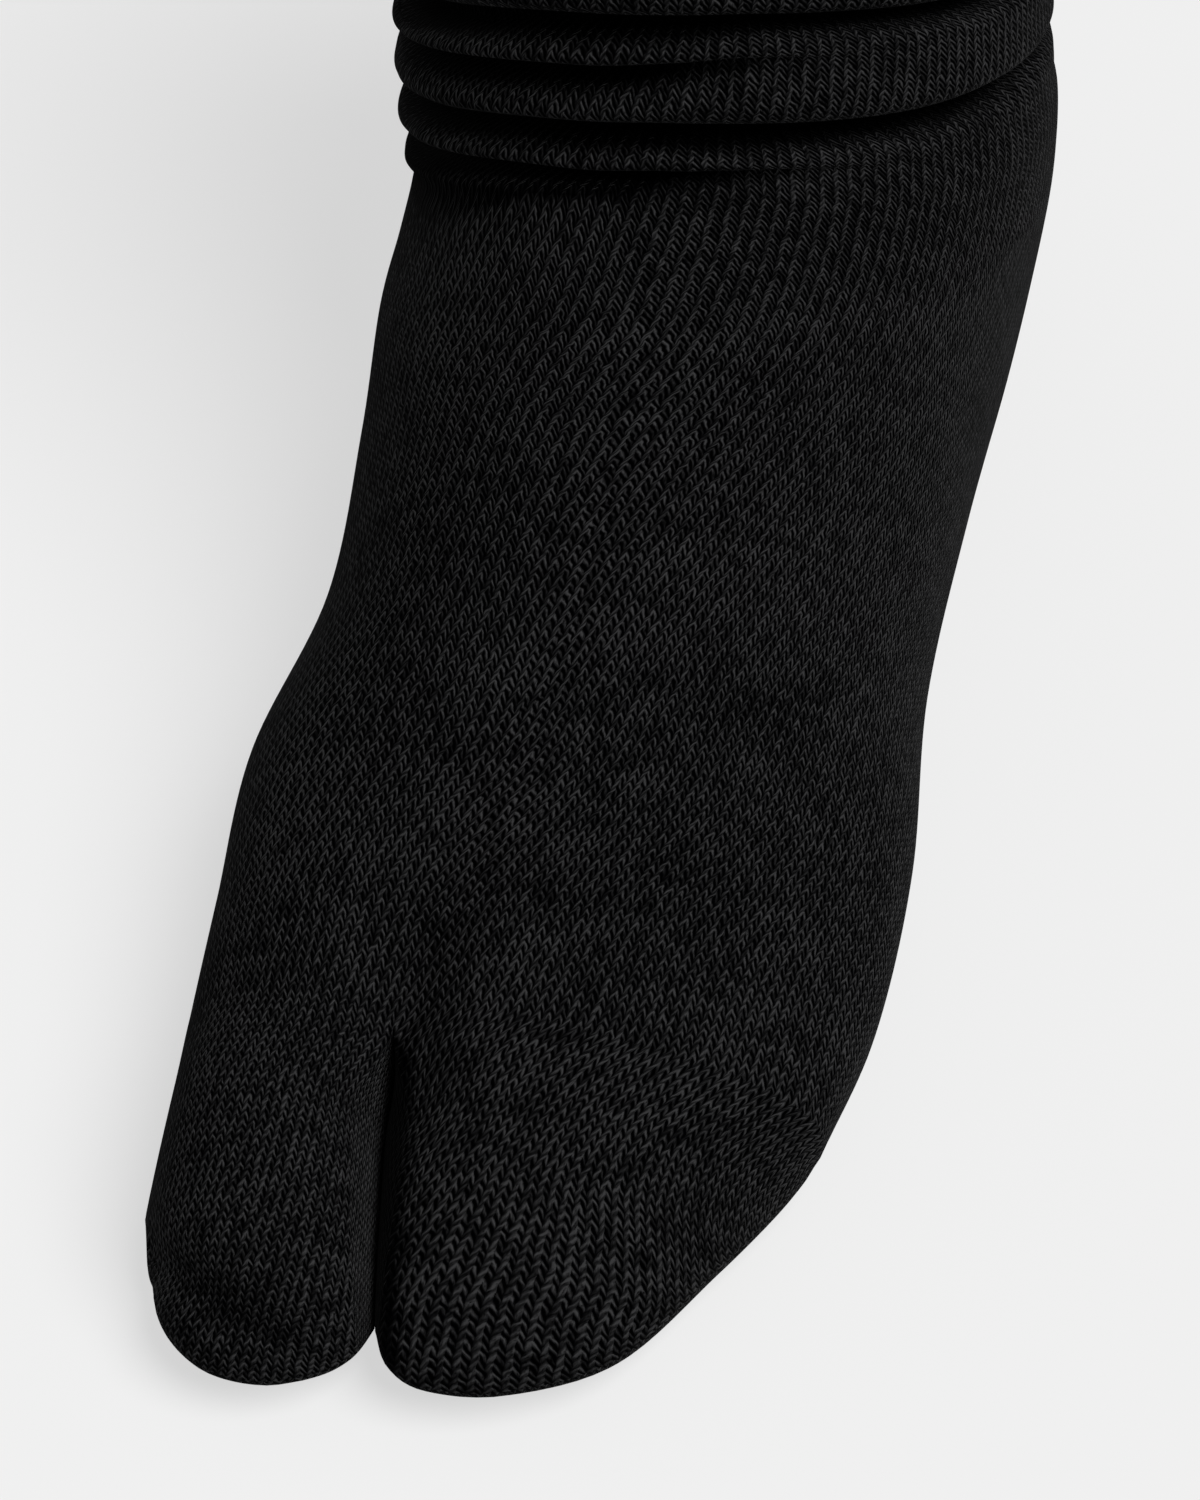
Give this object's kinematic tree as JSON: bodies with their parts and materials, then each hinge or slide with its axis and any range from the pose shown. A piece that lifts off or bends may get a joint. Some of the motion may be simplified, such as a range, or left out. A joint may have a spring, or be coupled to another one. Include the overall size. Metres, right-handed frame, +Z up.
{
  "type": "split-toe sock",
  "caption": "Knitted split-toe sock for the left foot, filled out as worn, slouched into rolls at the ankle, with a ribbed top open to an empty hollow.",
  "frame": {"origin": "on the flat sole where it rests on the floor, under the ankle", "axes": "+Z is up, the toes point to -Y and the heel to +Y, and the little-toe side is +X; the leg leans back towards +Y"},
  "size_m": [0.095, 0.2664, 0.172],
  "materials": {
    "knit": "matt black plain-knit cotton, slightly heathered",
    "rib": "matt black rib-knit cotton"
  },
  "bodies": {
    "root": {"sock": "knit"}
  },
  "joints": []
}
